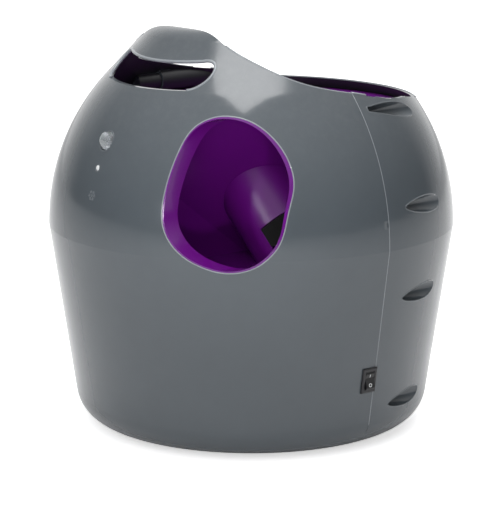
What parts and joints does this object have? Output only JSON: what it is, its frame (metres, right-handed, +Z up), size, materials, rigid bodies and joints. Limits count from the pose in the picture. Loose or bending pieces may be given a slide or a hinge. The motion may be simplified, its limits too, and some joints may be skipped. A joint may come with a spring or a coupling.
{
  "type": "automatic ball launcher",
  "caption": "Round, waisted automatic dog ball launcher with open ball hopper, hooded carry handle, side launch opening and spring-hammer mechanism.",
  "frame": {"origin": "on the ground under the centre of the housing", "axes": "+Z up, front faces -Y, +X is the side of the power switch"},
  "size_m": [0.34, 0.34, 0.3374],
  "materials": {
    "base_grey": "matt",
    "black_plastic": "fine matt",
    "board_green": "solder mask",
    "bronze": "sintered",
    "cell_wrap": "foil",
    "clear_lens": "clear",
    "contact_steel": "nickel",
    "foot_rubber": "matt",
    "gear_white": "acetal",
    "grey_frame": "zinc plated",
    "grey_shell": "gloss",
    "knob_grey": "matt",
    "light_pipe": "translucent",
    "motor_can": "plated",
    "pinion_brass": "machined",
    "purple": "gloss",
    "rocker_black": "satin",
    "rubber_black": "matt",
    "spring_steel": "drawn wire",
    "zinc_steel": "zinc plated"
  },
  "bodies": {
    "housing": {"front_shell": "grey_shell", "rear_shell": "grey_shell", "lane_liner": "purple", "feed_tube": "purple", "hopper": "purple", "sensor_lens": "clear_lens", "status_light": "light_pipe", "sensor_board": "board_green", "speaker": "black_plastic", "switch_bezel": "black_plastic", "base_plate": "base_grey", "battery_cells": "cell_wrap", "battery_contacts": "contact_steel", "feet": "foot_rubber", "frame_inner_plate": "grey_frame", "frame_outer_plate": "grey_frame", "frame_spacers": "zinc_steel", "frame_screws": "zinc_steel", "frame_bushes": "bronze", "gear_cover": "black_plastic", "gear_axles": "zinc_steel", "hammer_stop_bar": "zinc_steel", "hammer_buffer": "rubber_black", "launch_springs": "spring_steel", "motor": "motor_can", "rack_guides": "black_plastic", "distance_selector": "black_plastic", "main_board": "board_green", "dc_inlet": "black_plastic", "shell_screws": "zinc_steel"},
    "rocker": {"switch_rocker": "rocker_black"},
    "battery_door": {"battery_door": "base_grey"},
    "hammer": {"hammer_arm": "gear_white", "hammer_pad": "rubber_black", "hammer_axle": "zinc_steel", "hammer_sector_gear": "gear_white"},
    "drive_gear": {"drive_gear": "gear_white"},
    "second_gear": {"second_gear": "gear_white"},
    "motor_rotor": {"motor_shaft": "zinc_steel", "motor_pinion": "pinion_brass"},
    "cradle": {"cradle": "black_plastic"},
    "angle_rack": {"angle_rack": "gear_white"},
    "angle_dial": {"angle_knob": "knob_grey", "angle_shaft": "zinc_steel", "angle_pinion": "gear_white"},
    "distance_dial": {"distance_knob": "knob_grey", "distance_shaft": "zinc_steel"}
  },
  "joints": [
    {"name": "rocker_tilt", "type": "hinge", "parent": "housing", "child": "rocker", "pos_m": [0.15298, -0.00641, 0.06365], "axis": [0.0419, 0.9991, 0], "range_deg": [-16, 0]},
    {"name": "battery_door_hinge", "type": "hinge", "parent": "housing", "child": "battery_door", "pos_m": [0.0256, 0, 0.003], "axis": [0, 1, 0], "range_deg": [-100, 0]},
    {"name": "hammer_swing", "type": "hinge", "parent": "housing", "child": "hammer", "pos_m": [0.1072, -0.05, 0.076], "axis": [1, 0, 0], "range_deg": [-50, 0], "stiffness_Nm_per_rad": 0.12, "springref_deg": 20.05, "deforming": ["launch_springs"]},
    {"name": "drive_gear_spin", "type": "hinge", "parent": "housing", "child": "drive_gear", "pos_m": [0.06, -0.01314, 0.05019], "axis": [1, 0, 0], "range_deg": [0, 75]},
    {"name": "second_gear_spin", "type": "hinge", "parent": "housing", "child": "second_gear", "pos_m": [0.066, 0.02061, 0.05019], "axis": [1, 0, 0], "range_deg": [-262.5, 0]},
    {"name": "motor_spin", "type": "hinge", "parent": "housing", "child": "motor_rotor", "pos_m": [0.073, 0.05361, 0.05019], "axis": [1, 0, 0], "range_deg": [0, 1181.25]},
    {"name": "angle_dial_turn", "type": "hinge", "parent": "housing", "child": "angle_dial", "pos_m": [0.06, 0.132, 0.1], "axis": [0, 1, 0], "range_deg": [0, 150]},
    {"name": "angle_rack_slide", "type": "slide", "parent": "housing", "child": "angle_rack", "axis": [0, 0, 1], "range_m": [-0.02094, 0]},
    {"name": "cradle_tilt", "type": "hinge", "parent": "housing", "child": "cradle", "pos_m": [0.1072, -0.078, 0.118], "axis": [1, 0, 0], "range_deg": [-17.4, 0]},
    {"name": "distance_dial_turn", "type": "hinge", "parent": "housing", "child": "distance_dial", "pos_m": [-0.06, 0.132, 0.1], "axis": [0, 1, 0], "range_deg": [0, 240]}
  ],
  "couplings": [
    {"joint": "drive_gear_spin", "follows": "hammer_swing", "ratio": -1.5},
    {"joint": "second_gear_spin", "follows": "hammer_swing", "ratio": 5.25},
    {"joint": "motor_spin", "follows": "hammer_swing", "ratio": -23.625},
    {"joint": "angle_rack_slide", "follows": "angle_dial_turn", "m_per_rad": -0.008},
    {"joint": "cradle_tilt", "follows": "angle_dial_turn", "ratio": -0.116}
  ]
}
